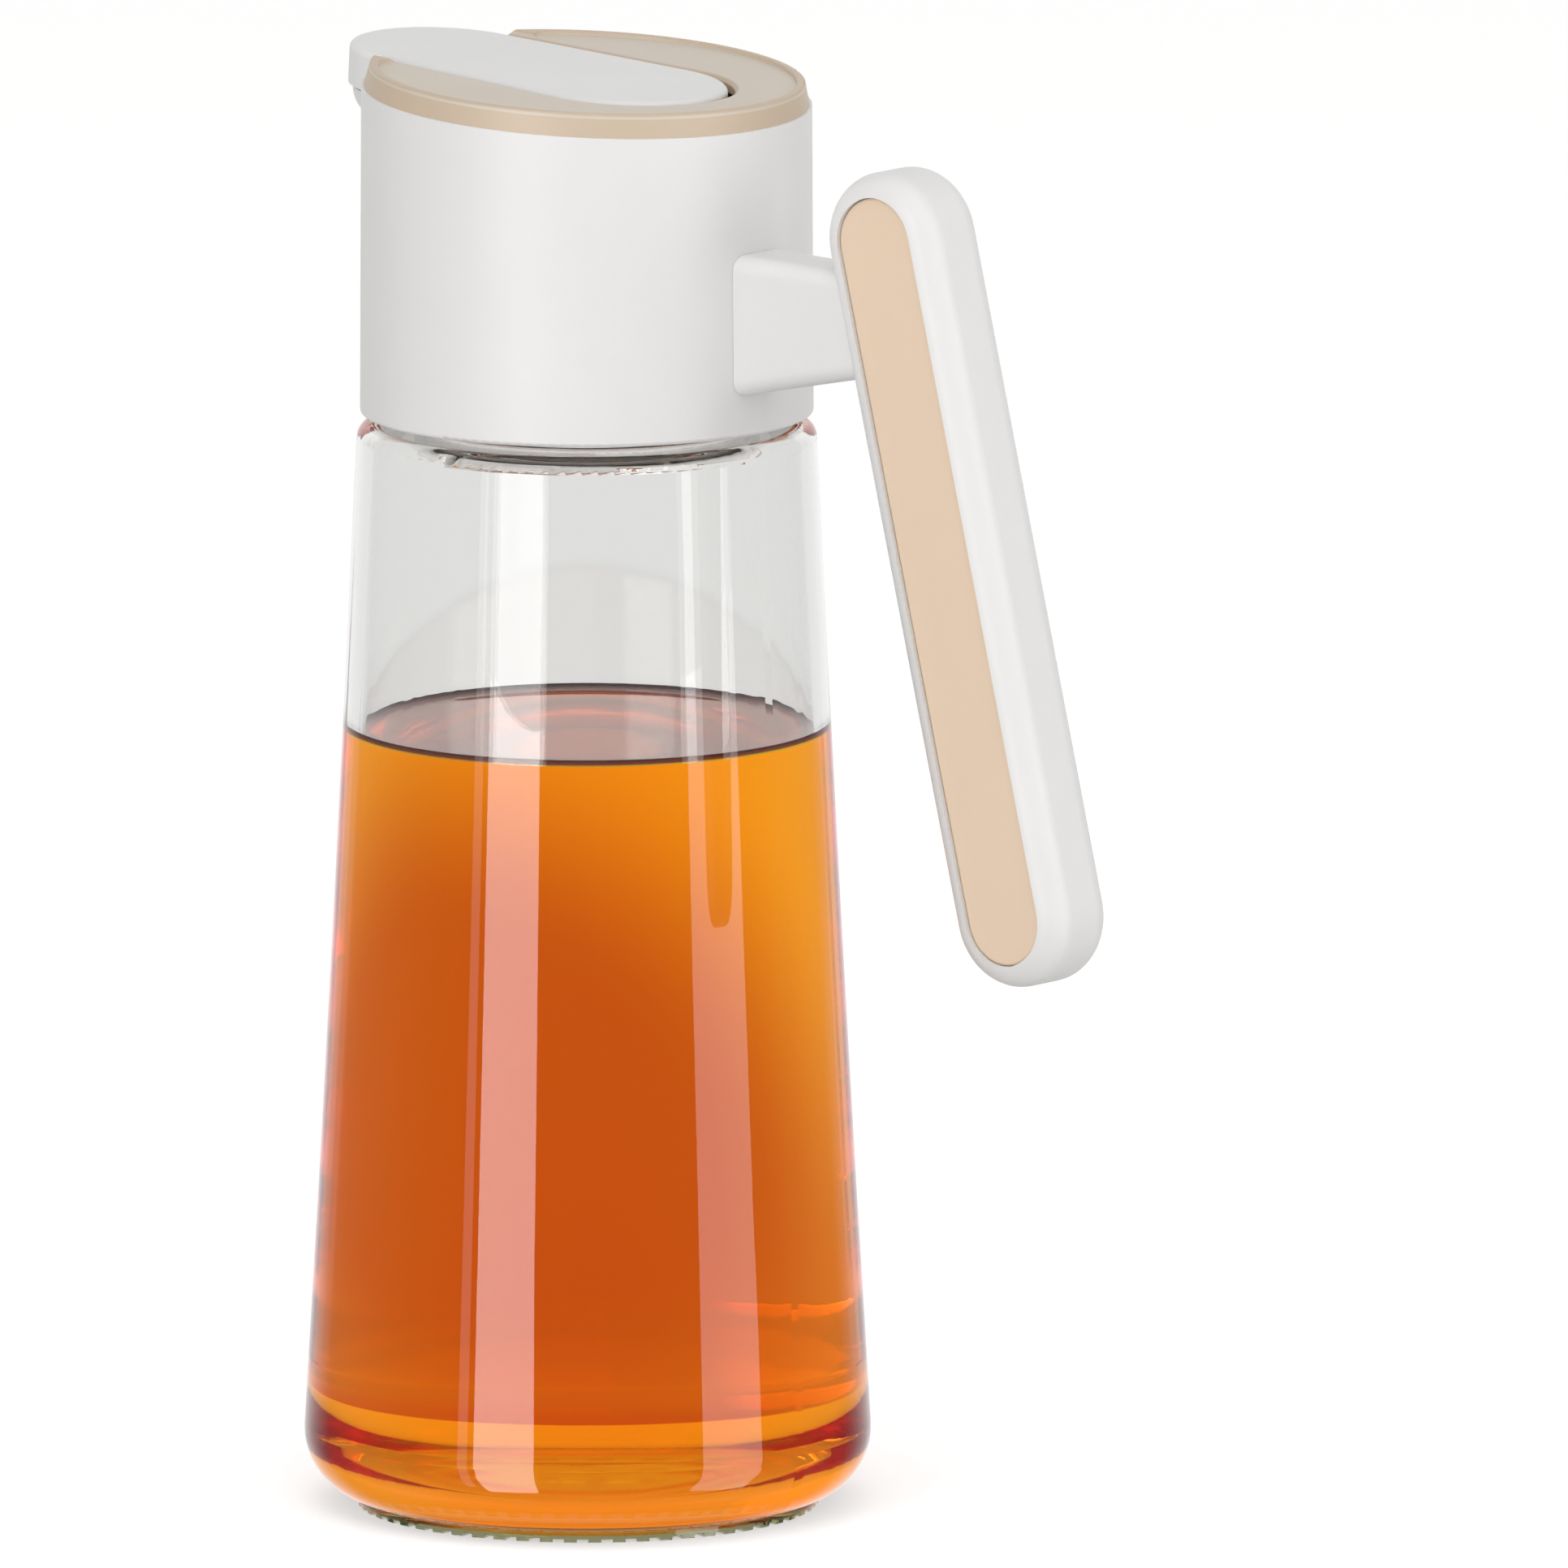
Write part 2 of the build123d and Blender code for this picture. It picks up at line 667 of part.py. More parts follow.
def lid_carrier():
    """The moulding under the lid: a plate with the hinge bosses and two arms that hold the counterweight."""
    length = carrier_back_x - carrier_front_x
    middle = (carrier_back_x + carrier_front_x) / 2
    plate = Box(length, 2 * carrier_half_width, carrier_plate)
    plate = fillet(plate.edges().filter_by(Axis.Z), carrier_corner)
    plate = Pos(middle, 0, -carrier_drop - carrier_plate / 2) * plate
    body = seam.location * plate
    boss_end = lid_tail_radius - lid_wall - hinge_boss_side_gap
    arm_inner = weight_half_length + arm_gap
    arm_end = Pos(weight_x, -weight_drop) * Circle(arm_end_radius)
    arm_root = Pos(arm_root_x, -carrier_drop - carrier_plate / 2) * Rectangle(arm_root_length, carrier_plate)
    for side in (-1, 1):
        boss_start = arm_inner - hinge_boss_lap
        body += cross_rod(hinge_boss_radius, hinge_x, -hinge_drop, side * boss_start, side * boss_end)
        outline = make_hull([*arm_end.edges(), *arm_root.edges()])
        arm = extrude(Plane.XZ.offset(-side * arm_inner) * outline, -side * arm_thickness)
        body += seam.location * arm
    body -= cross_rod(pin_radius + pin_running_clearance, hinge_x, -hinge_drop, -boss_end - 1, boss_end + 1)
    outer = arm_inner + arm_thickness + 1
    body -= cross_rod(weight_stub_radius + seat_gap, weight_x, -weight_drop, -outer, outer)
    hole = lid_screw_radius + screw_clearance
    for side in (-1, 1):
        body -= cylinder_on_seam(hole, lid_screw_x, side * lid_screw_y, -carrier_drop - carrier_plate - 1, 0)
    return body


def counterweight():
    """Steel bar with a stub on each end, carried by the two arms under the lid."""
    stub_end = weight_half_length + arm_gap + arm_thickness
    body = cross_rod(weight_radius, weight_x, -weight_drop, -weight_half_length, weight_half_length)
    body = chamfer(body.edges().filter_by(GeomType.CIRCLE), weight_chamfer)
    return body + cross_rod(weight_stub_radius, weight_x, -weight_drop, -stub_end, stub_end)


def spout_seal():
    """Silicone pad under the lid's nose that closes the spout's mouth."""
    low = -duct_mouth_drop + seal_gap
    outline = seam.offset(low) * Pos(lid_nose_x - duct_mouth_reach, 0) * Ellipse(seal_half_x, seal_half_y)
    pad = extrude(outline, lid_top - lid_skin - low)
    return fillet(min(pad.edges(), key=seam_rise), seal_edge_round)


def hinge_pin():
    """Steel pin through the cover's cheeks and the carrier's bosses."""
    end = lid_tail_radius + lid_gap + cheek_thickness
    return cross_rod(pin_radius, hinge_x, -hinge_drop, -end, end)


def lid_screws():
    """The two screws that fasten the carrier to the lid."""
    bodies = []
    for side in (-1, 1):
        y = side * lid_screw_y
        foot = -carrier_drop - carrier_plate
        screw = cylinder_on_seam(lid_screw_radius, lid_screw_x, y, foot, foot + lid_screw_length)
        screw += cylinder_on_seam(lid_screw_head_radius, lid_screw_x, y, foot - lid_screw_head, foot)
        bodies.append(screw)
    return bodies


def cover():
    """The beige cover: a disc with a raised rim, a skirt that snaps in and cheeks for the hinge pin."""
    floor = cover_height - cover_recess
    skirt_radius = collar_bore - cover_skirt_clearance
    inner_radius = skirt_radius - cover_skirt_wall
    outline = Polyline(
        at(0, cover_height),
        at(cover_top_radius, cover_height),
        at(cover_radius, 0),
        at(skirt_radius, 0),
        at(skirt_radius, -cover_skirt),
        at(inner_radius, -cover_skirt),
        at(inner_radius, floor - cover_plate),
        at(0, floor - cover_plate),
        close=True,
    )
    recess_radius = cover_top_radius - cover_rim_width
    recess = Circle(recess_radius) - lid_outline(lid_gap)
    corners = [v for v in recess.vertices() if abs(Vector(*v).length - recess_radius) < 0.01]
    recess = fillet(corners, cover_recess_corner)
    body = revolved(outline) - Pos(0, 0, floor) * extrude(recess, cover_height)
    body = seam.location * fillet(body.edges().group_by(Axis.Z)[-1], cover_rim_round)
    body += bead(bead_height)
    inner = lid_tail_radius + lid_gap
    for side in (-1, 1):
        high = floor - cover_plate / 2
        centre = Pos(hinge_x, side * (inner + cheek_thickness / 2), (high - cheek_drop) / 2)
        body += seam.location * centre * Box(cheek_length, cheek_thickness, high + cheek_drop)
    body -= lid_form(lid_gap, -cover_skirt - 1, cover_height + 1)
    flare = seam.offset(floor - cover_slot_bevel) * lid_outline(lid_gap)
    body -= extrude(flare, cover_slot_bevel + cover_recess, taper=-45)
    end = inner + cheek_thickness + 1
    return body - cross_rod(pin_radius + thread_fit, hinge_x, -hinge_drop, -end, end)


def grip_slot(width):
    """The grip's rounded bar seen from the side, with this width."""
    bar = Rot(0, 0, 90 + grip_lean) * SlotCenterToCenter(grip_length, width)
    return Plane.XZ * Pos(grip_x, grip_z) * bar


def along_grip(distance):
    """Where the grip's centre line is, this far up from its middle, as (x, z)."""
    return grip_x - distance * sin(radians(grip_lean)), grip_z + distance * cos(radians(grip_lean))


def slab(face, near, far):
    """A face of the XZ plane as a slab between two distances from that plane, the same on both sides."""
    whole = extrude(face, far, both=True)
    return whole - extrude(face, near, both=True) if near else whole


def handle_frame():
    """The white handle: a bracket that butts on the collar and a rounded bar, hollow behind each inlay."""
    half = grip_thickness / 2
    bar = slab(grip_slot(grip_width), 0, half)
    bar = fillet(bar.edges().filter_by(lambda e: abs(abs(e.center().Y) - half) < 0.01), grip_edge_round)
    low, high = [collar_foot + rise for rise in bracket_rises]
    grip_low, grip_high = [collar_foot + rise for rise in bracket_grip_rises]
    reach_x, _ = along_grip((grip_low + grip_high) / 2 - grip_z)
    start_x = collar_radius - bracket_root
    corners = [(start_x, low), (reach_x, grip_low), (reach_x, grip_high), (start_x, high)]
    bracket_face = Plane.XZ * make_face(Polyline(*corners, close=True))
    bracket = slab(bracket_face, 0, bracket_thickness / 2)
    long_edges = [e for e in bracket.edges() if abs((e @ 1).X - (e @ 0).X) > 1]
    bracket = fillet(long_edges, bracket_edge_round)
    body = bar + bracket - collar_outside(seat_gap)
    pocket_floor = half - inlay_recess - inlay_thickness - seat_gap
    body -= slab(grip_slot(inlay_width + 2 * inlay_clearance), pocket_floor, half + 1)
    web = grip_web / 2
    body -= slab(grip_slot(inlay_width - 2 * core_wall), web, pocket_floor + core_lap)
    for place in (-stud_spacing, 0, stud_spacing):
        x, z = along_grip(place)
        for side in (-1, 1):
            boss = rod(stud_boss_radius, (x, side * web / 2, z), (x, side * pocket_floor, z))
            body += boss
            hole_foot = side * (web + stud_end_gap)
            body -= rod(stud_radius + seat_gap, (x, hole_foot, z), (x, side * (half + 1), z))
    for height in handle_screw_heights:
        tip = collar_bore + handle_screw_length + screw_clearance
        body -= rod(handle_screw_radius + thread_fit, (collar_bore, 0, height), (tip, 0, height))
    return body


def handle_inlay(side):
    """One beige inlay, with the studs that snap it into the handle."""
    half = grip_thickness / 2
    outer = half - inlay_recess
    inner = outer - inlay_thickness
    plate = extrude(Pos(0, side * inner, 0) * grip_slot(inlay_width), inlay_thickness, dir=(0, side, 0))
    plate = fillet([e for e in plate.edges() if abs((e @ 0.5).Y - side * outer) < 0.01], inlay_edge_round)
    for place in (-stud_spacing, 0, stud_spacing):
        x, z = along_grip(place)
        plate += rod(stud_radius, (x, side * (inner - stud_length), z), (x, side * (inner + core_lap), z))
    return plate


def handle_screws():
    """The two screws that hold the handle to the collar, put in from inside the collar."""
    bodies = []
    for height in handle_screw_heights:
        seat = collar_bore
        screw = rod(handle_screw_radius, (seat, 0, height), (seat + handle_screw_length, 0, height))
        screw += rod(handle_screw_head_radius, (seat - handle_screw_head, 0, height), (seat, 0, height))
        bodies.append(screw)
    return bodies


def cap_screws():
    """The four screws from the cap's flange through the pourer's plate into the collar's bosses."""
    bodies = []
    for angle in cap_screw_angles:
        place = polar(cap_screw_circle, angle)
        screw = upright(cap_screw_radius, *place, flange_foot, flange_foot + cap_screw_length)
        screw += upright(cap_screw_head_radius, *place, flange_foot - cap_screw_head, flange_foot)
        bodies.append(screw)
    return bodies


def solids_of(shape):
    """The solids of a part, or of a list of separate parts."""
    if isinstance(shape, list):
        return [solid for one in shape for solid in one.solids()]
    return list(shape.solids())


nodes = {
    "glass_bottle": glass_bottle(),
    "oil": oil(),
    "neck_gasket": neck_gasket(),
    "threaded_cap": threaded_cap(),
    "cap_screws": cap_screws(),
    "pourer": pourer(),
    "plug_ring": plug_ring(),
    "air_valve": air_valve(),
    "collar": collar(),
    "cover": cover(),
    "hinge_pin": hinge_pin(),
    "lid_flap": lid_flap(),
    "lid_carrier": lid_carrier(),
    "lid_screws": lid_screws(),
    "counterweight": counterweight(),
    "spout_seal": spout_seal(),
    "handle_frame": handle_frame(),
    "handle_inlay_left": handle_inlay(1),
    "handle_inlay_right": handle_inlay(-1),
    "handle_screws": handle_screws(),
}

os.makedirs("parts", exist_ok=True)
for name, shape in nodes.items():
    solids = solids_of(shape)
    export_step(solids[0] if len(solids) == 1 else Compound(children=solids), f"parts/{name}.step")
    print(f"{name}: {len(solids)} solid(s), {sum(s.volume for s in solids) / 1000:.2f} cm3")
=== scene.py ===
# %% [markdown]
# # Oil pot
# A tapering glass bottle of oil, a white pouring head with a beige cover, a side handle, and a lid that swings open
# when the pot is tipped. The shapes come from the CAD model, which is loaded as a fixed frame in metres: X points to
# the handle, -X to the spout, and Z up. This notebook fills the bottle, makes the screws, gives each piece its
# finish, and sets the light and the camera of a product photograph.

from math import cos, pi, radians, sin

import bpy
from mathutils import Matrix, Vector


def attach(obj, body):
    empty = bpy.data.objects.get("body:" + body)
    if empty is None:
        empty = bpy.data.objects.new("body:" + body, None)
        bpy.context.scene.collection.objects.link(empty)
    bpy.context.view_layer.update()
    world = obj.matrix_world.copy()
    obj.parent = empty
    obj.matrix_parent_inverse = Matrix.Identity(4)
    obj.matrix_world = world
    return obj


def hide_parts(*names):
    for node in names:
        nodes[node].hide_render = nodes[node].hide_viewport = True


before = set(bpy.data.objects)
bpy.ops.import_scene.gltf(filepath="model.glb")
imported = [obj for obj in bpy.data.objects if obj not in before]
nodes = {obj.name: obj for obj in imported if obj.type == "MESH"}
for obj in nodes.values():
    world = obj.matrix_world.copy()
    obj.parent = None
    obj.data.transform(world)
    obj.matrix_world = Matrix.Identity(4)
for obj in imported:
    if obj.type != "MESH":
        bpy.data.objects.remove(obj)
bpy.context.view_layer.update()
scene = bpy.context.scene
mm = 0.001
print("CAD nodes:", ", ".join(sorted(nodes)))

# %% [markdown]
# ## Camera
# The photograph was taken from far away with a long lens, a little above the pot and to the left of its handle.
# Parallel lines hardly meet in it, so the camera stands six metres off. Its lens follows from the scale at which the
# pot shows in the picture, and it looks at a point that puts the pot where the photograph has it.

# %% Camera
camera_azimuth = radians(40.0)  # from -Y towards the handle
camera_elevation = radians(9.9)
camera_distance = 6.0
picture_side = 1932  # pixels
picture_scale = 8210  # pixels in a metre at the pot
axis_height = 0.110  # this point of the pot's axis ...
axis_pixel = (723.5, 960.0)  # ... shows at this pixel

level_back = Vector((sin(camera_azimuth), -cos(camera_azimuth), 0))  # level, from the pot to the camera
back = level_back * cos(camera_elevation) + Vector((0, 0, sin(camera_elevation)))
right = Vector((cos(camera_azimuth), sin(camera_azimuth), 0))
up = back.cross(right)
aim = Vector((0, 0, axis_height))
aim += right * (picture_side / 2 - axis_pixel[0]) / picture_scale
aim -= up * (picture_side / 2 - axis_pixel[1]) / picture_scale

lens = bpy.data.cameras.new("camera")
lens.sensor_width = 36.0
lens.lens = lens.sensor_width * camera_distance * picture_scale / picture_side
lens.clip_start, lens.clip_end = 0.1, 60.0
camera = bpy.data.objects.new("camera", lens)
camera.location = aim + back * camera_distance
camera.rotation_euler = back.to_track_quat("Z", "Y").to_euler()
scene.collection.objects.link(camera)
scene.camera = camera
scene.view_settings.view_transform = "Standard"
print(f"Lens {lens.lens:.0f} mm at {camera_distance} m")

# %% [markdown]
# Light goes through many faces of glass and oil on its way to the camera, and each of them counts as one bounce. In
# the rounded foot it is thrown back and forth many times more. With too few bounces such places would turn black.

# %% Bounces through glass
bounces = 256
scene.cycles.max_bounces = bounces
scene.cycles.transmission_bounces = bounces
scene.cycles.glossy_bounces = bounces
print("Bounces:", bounces)

# %% [markdown]
# ## Helpers for every node tree
# Materials, the world and Geometry Nodes are all trees of nodes. The first helper adds one node, sets what is special
# about it, and fills its inputs, either with a value or with links from other nodes. The second turns a colour as a
# picture program writes it into the linear numbers that light is reckoned in. The third blends two colours, and the
# fourth starts an empty material.


# %% Node and colour helpers
def add(tree, kind, inputs=None, **settings):
    """Adds a node. inputs maps a socket's name or number to a value, another node's output, or a list of these."""
    made = tree.nodes.new(kind)
    for name, value in settings.items():
        setattr(made, name, value)
    for key, value in (inputs or {}).items():
        sources = value if isinstance(value, list) else [value]
        if isinstance(sources[0], bpy.types.NodeSocket):
            for source in sources:
                tree.links.new(source, made.inputs[key])
        else:
            made.inputs[key].default_value = value
    return made


def linear(code):
    """An sRGB colour such as #E9E8E6 as linear values."""
    parts = [int(code[i : i + 2], 16) / 255 for i in (1, 3, 5)]
    return [p / 12.92 if p <= 0.04045 else ((p + 0.055) / 1.055) ** 2.4 for p in parts] + [1.0]


def mixed(tree, share, first, second):
    """A colour between two others, by a share from 0 to 1 that may be another node's output."""
    blend = add(tree, "ShaderNodeMix", {"Factor": share}, data_type="RGBA")
    for name, colour in (("A", first), ("B", second)):
        if isinstance(colour, bpy.types.NodeSocket):
            tree.links.new(colour, blend.inputs[name])
        else:
            blend.inputs[name].default_value = colour
    return blend.outputs["Result"]


def new_material(name):
    """An empty node material and its tree."""
    made = bpy.data.materials.new(name)
    made.use_nodes = True
    made.node_tree.nodes.clear()
    return made, made.node_tree


# %% [markdown]
# ## Room
# Glass and white plastic are photographed in a pale room in front of a white backdrop. The backdrop is plain white
# where the camera sees it, directly or through the glass, but it lights the pot more gently than that, so that white
# plastic keeps its shading. A reflection shows the backdrop white too. It shows the side of the room where the camera
# stands dimmer, as in a real studio, which keeps a grey veil off the front of the bottle.

# %% Room and backdrop
room_light = 0.50  # how strongly the pale room lights the pot
front_in_gloss = 0.15  # how bright a reflection shows the room in front of the pot
behind_from, behind_full = 0.6, 1.0  # cosines: further from the view direction it counts as in front of the pot
white = 1.0

room = bpy.data.worlds.new("pale_room")
scene.world = room
room.use_nodes = True
tree = room.node_tree
tree.nodes.clear()
ray = add(tree, "ShaderNodeLightPath").outputs
towards = add(tree, "ShaderNodeTexCoord").outputs["Generated"]
away = add(tree, "ShaderNodeVectorMath", {0: towards, 1: -level_back}, operation="DOT_PRODUCT")
mirrored = add(
    tree,
    "ShaderNodeMapRange",
    {
        "Value": away.outputs["Value"],
        "From Min": behind_from,
        "From Max": behind_full,
        "To Min": front_in_gloss,
        "To Max": white,
    },
    interpolation_type="SMOOTHSTEP",
)
lit = add(
    tree, "ShaderNodeMapRange", {"Value": ray["Is Glossy Ray"], "To Min": room_light, "To Max": mirrored.outputs[0]}
)
sight = add(tree, "ShaderNodeMath", {0: ray["Is Camera Ray"], 1: ray["Is Transmission Ray"]}, operation="MAXIMUM")
strength = add(
    tree, "ShaderNodeMapRange", {"Value": sight.outputs[0], "To Min": lit.outputs[0], "To Max": white}
)
sky = add(tree, "ShaderNodeBackground", {"Color": linear("#FFFFFF"), "Strength": strength.outputs[0]})
add(tree, "ShaderNodeOutputWorld", {"Surface": sky.outputs[0]})
print("Room:", room.name)

# %% [markdown]
# ## Lamps
# Two tall soft boxes, left and right of the camera, draw the upright bands on the glass. Each is brighter in its lower
# part. A mirrored lamp and the light that it throws on matt plastic are set apart: the bands come from lamps that show
# in gloss only, and the shading of the white head comes from softer ones just behind them.


# %% Lamps
def soft_lamp(name, azimuth, elevation, distance, width, height, brightness, centre=axis_height, role="matt"):
    """A rectangular lamp that looks at the pot and shows in gloss, or lights what is matt. Azimuth is counted from -Y
    towards the handle, in degrees."""
    turn, rise = radians(azimuth), radians(elevation)
    way = Vector((sin(turn) * cos(rise), -cos(turn) * cos(rise), sin(rise)))
    lamp = bpy.data.lights.new(name, "AREA")
    lamp.shape = "RECTANGLE"
    lamp.size, lamp.size_y = width, height
    lamp.energy = brightness * pi * width * height
    placed = bpy.data.objects.new(name, lamp)
    placed.location = Vector((0, 0, centre)) + way * distance
    placed.rotation_euler = way.to_track_quat("Z", "Y").to_euler()
    placed.visible_camera = False
    placed.visible_glossy = role == "gloss"
    placed.visible_diffuse = role == "matt"
    scene.collection.objects.link(placed)
    print(f"{name}: {lamp.energy:.1f} W")


soft_lamp("left_key", 8.0, 0.0, 1.35, 0.60, 1.6, 2.4)
soft_lamp("right_key", 104.0, 0.0, 1.35, 0.65, 1.6, 2.2)
soft_lamp("front_fill", 55.0, 30.0, 1.6, 1.0, 1.0, 0.9)
soft_lamp("overhead", 20.0, 70.0, 1.5, 1.2, 1.2, 1.1)
soft_lamp("left_band_low", 6.3, 0.0, 1.2, 0.53, 0.94, 5.6, centre=-0.434, role="gloss")
soft_lamp("left_band_high", 6.3, 0.0, 1.2, 0.53, 0.80, 2.3, centre=0.436, role="gloss")
soft_lamp("right_band_low", 100.8, 0.0, 1.2, 0.58, 0.94, 2.6, centre=-0.434, role="gloss")
soft_lamp("right_band_high", 100.8, 0.0, 1.2, 0.58, 0.80, 1.2, centre=0.436, role="gloss")
soft_lamp("left_line", -11.0, 0.0, 1.2, 0.09, 1.6, 1.2, role="gloss")

# %% [markdown]
# ## Floor
# The floor is a plain sheet of matt paper. Seen directly it is lifted to white, and the pot's shadow stays on it. Seen
# through the bottle it shows one thing more: behind a real pot of oil lies a soft amber patch, where the lamps' light
# has come through the oil. Following light through two curved faces takes far too long, so that patch is drawn.

# %% Floor
floor_half = 6.0
floor_lift = 0.51  # added where the camera sees the floor, so that it is white outside the shadow
amber_light = (0.60, 0.32, 0.20, 1.0)
patch_centre = (-0.11, 0.236, 0.0)
patch_inner, patch_outer = 0.12, 0.33

sheet, tree = new_material("matt_white_paper")
paper = add(tree, "ShaderNodeBsdfDiffuse", {"Color": linear("#EDEDEC")})
ray = add(tree, "ShaderNodeLightPath").outputs
lift = add(tree, "ShaderNodeMath", {0: ray["Is Camera Ray"], 1: floor_lift}, operation="MULTIPLY")
glow = add(tree, "ShaderNodeEmission", {"Color": linear("#FFFFFF"), "Strength": lift.outputs[0]})
direct = add(tree, "ShaderNodeAddShader", {0: paper.outputs[0], 1: glow.outputs[0]})
place = add(tree, "ShaderNodeTexCoord").outputs["Object"]
off = add(tree, "ShaderNodeVectorMath", {0: place, 1: patch_centre}, operation="DISTANCE")
clear_of_it = add(
    tree,
    "ShaderNodeMapRange",
    {"Value": off.outputs["Value"], "From Min": patch_inner, "From Max": patch_outer},
    interpolation_type="SMOOTHSTEP",
)
seen = mixed(tree, clear_of_it.outputs[0], amber_light, linear("#FFFFFF"))
through = add(tree, "ShaderNodeEmission", {"Color": seen, "Strength": white})
both = add(tree, "ShaderNodeMixShader", {0: ray["Is Transmission Ray"], 1: direct.outputs[0], 2: through.outputs[0]})
add(tree, "ShaderNodeOutputMaterial", {"Surface": both.outputs[0]})

corners = [(x * floor_half, y * floor_half, 0) for x, y in ((-1, -1), (1, -1), (1, 1), (-1, 1))]
floor_mesh = bpy.data.meshes.new("floor")
floor_mesh.from_pydata(corners, [], [(0, 1, 2, 3)])
floor_mesh.materials.append(sheet)
floor = bpy.data.objects.new("floor", floor_mesh)
scene.collection.objects.link(floor)
floor.visible_glossy = False
print("Floor:", floor.dimensions.x, "m wide")

# %% [markdown]
# ## Glass
# The bottle is pressed and blown soda-lime glass, fire polished inside and out. It is clear, but a thick piece shows a
# faint grey-green from the iron in the sand, so most of its colour comes from absorption inside the glass, which grows
# with depth. The knurled ring at the foot is painted a darker grey-green: painted shade that stands in for the light
# its short ridges send a long way through the glass. Blown glass is never quite even: long shallow waves bend the
# reflections a little.
#
# Where oil wets the glass, their faces hardly reflect, because both bend light almost alike. The material finds the
# wetted faces by their place: inside the wall, above the floor and below the oil's level.

# %% Glass
wall_line = (-0.0539, 0.0420)  # slope and start of the middle of the wall, as radius against height
heel_line = (0.75, 0.0336)  # the same for the rounded corner at the foot
wet_foot, wet_level = 0.004, 0.1185  # heights between which the inside is wet
# The darker green tint of the knurled foot ring, low on the bottle, is painted shade.
dry_glass, wet_glass, foot_ring_shade = linear("#F1F1F0"), linear("#FFFFFF"), linear("#8A8D6C")
foot_ring_shade_top = 0.0028
wave_scale, wave_stretch, wave_depth = 45.0, 0.12, 0.2 * mm

glass, tree = new_material("fire_polished_soda_lime_glass")
place = add(tree, "ShaderNodeTexCoord").outputs["Object"]
stretched = add(tree, "ShaderNodeMapping", {"Vector": place, "Scale": (1, 1, wave_stretch)})
waves = add(tree, "ShaderNodeTexNoise", {"Vector": stretched.outputs[0], "Scale": wave_scale, "Detail": 1.0})
bent = add(tree, "ShaderNodeBump", {"Height": waves.outputs[0], "Distance": wave_depth, "Strength": 0.15})
at = add(tree, "ShaderNodeSeparateXYZ", {0: place}).outputs
flat = add(tree, "ShaderNodeCombineXYZ", {0: at[0], 1: at[1]})
radius = add(tree, "ShaderNodeVectorMath", {0: flat.outputs[0]}, operation="LENGTH").outputs["Value"]
limits = [
    add(tree, "ShaderNodeMath", {0: at[2], 1: slope, 2: start}, operation="MULTIPLY_ADD").outputs[0]
    for slope, start in (wall_line, heel_line)
]
limit = add(tree, "ShaderNodeMath", {0: limits[0], 1: limits[1]}, operation="MINIMUM")
inside = add(tree, "ShaderNodeMath", {0: radius, 1: limit.outputs[0]}, operation="LESS_THAN")
below = add(tree, "ShaderNodeMath", {0: at[2], 1: wet_level}, operation="LESS_THAN").outputs[0]
above = add(tree, "ShaderNodeMath", {0: at[2], 1: wet_foot}, operation="GREATER_THAN")
ring = add(tree, "ShaderNodeMath", {0: at[2], 1: foot_ring_shade_top}, operation="LESS_THAN")
wet = add(tree, "ShaderNodeMath", {0: inside.outputs[0], 1: below}, operation="MULTIPLY")
wet = add(tree, "ShaderNodeMath", {0: wet.outputs[0], 1: above.outputs[0]}, operation="MULTIPLY")
body_glass = mixed(tree, below, dry_glass, wet_glass)
clear = add(
    tree,
    "ShaderNodeBsdfPrincipled",
    {
        "Base Color": mixed(tree, ring.outputs[0], body_glass, foot_ring_shade),
        "Roughness": 0.0,
        "IOR": 1.51,
        "Transmission Weight": 1.0,
        "Specular Tint": mixed(tree, wet.outputs[0], (1, 1, 1, 1), (0, 0, 0, 1)),
        "Normal": bent.outputs[0],
    },
)
depth = add(tree, "ShaderNodeVolumeAbsorption", {"Color": (0.83, 0.84, 0.81, 1.0), "Density": 20.0})
add(tree, "ShaderNodeOutputMaterial", {"Surface": clear.outputs[0], "Volume": depth.outputs[0]})
print("Finish:", glass.name)

# %% [markdown]
# ## Oil
# Cooking oil is a clear liquid whose colour deepens with the way that light goes through it. Absorption alone gives
# that: blue goes first, then green, and hardly any red, so a thin layer is yellow and the whole bottle is a deep
# orange. Only its free surface shines. Where it touches glass it has no shine of its own. The surface turns up at the
# wall and throws light away there. That thin dark line all round is painted shade: the upturned edge is given a
# near-black colour.

# %% Oil finish
free_from = 0.1179  # above this height the oil's skin is its free surface
# The thin dark line where the oil's skin turns up is painted shade: between these two heights its colour fades to near
# black.
edge_from, edge_full = 0.11803, 0.11815  # heights at which the upturned edge starts, and is fully dark
surface_tint = (0.26, 1.0, 0.8, 1.0)  # dims the red that shows up through the free surface
painted_edge_shade = (0.03, 0.01, 0.01, 1.0)
surface_shine, no_shine = (1, 1, 0.92, 1), (0, 0, 0, 1)

amber, tree = new_material("clear_amber_oil")
height = add(tree, "ShaderNodeSeparateXYZ", {0: add(tree, "ShaderNodeTexCoord").outputs["Object"]}).outputs[2]
free = add(tree, "ShaderNodeMath", {0: height, 1: free_from}, operation="GREATER_THAN")
calm = mixed(tree, free.outputs[0], (1, 1, 1, 1), surface_tint)
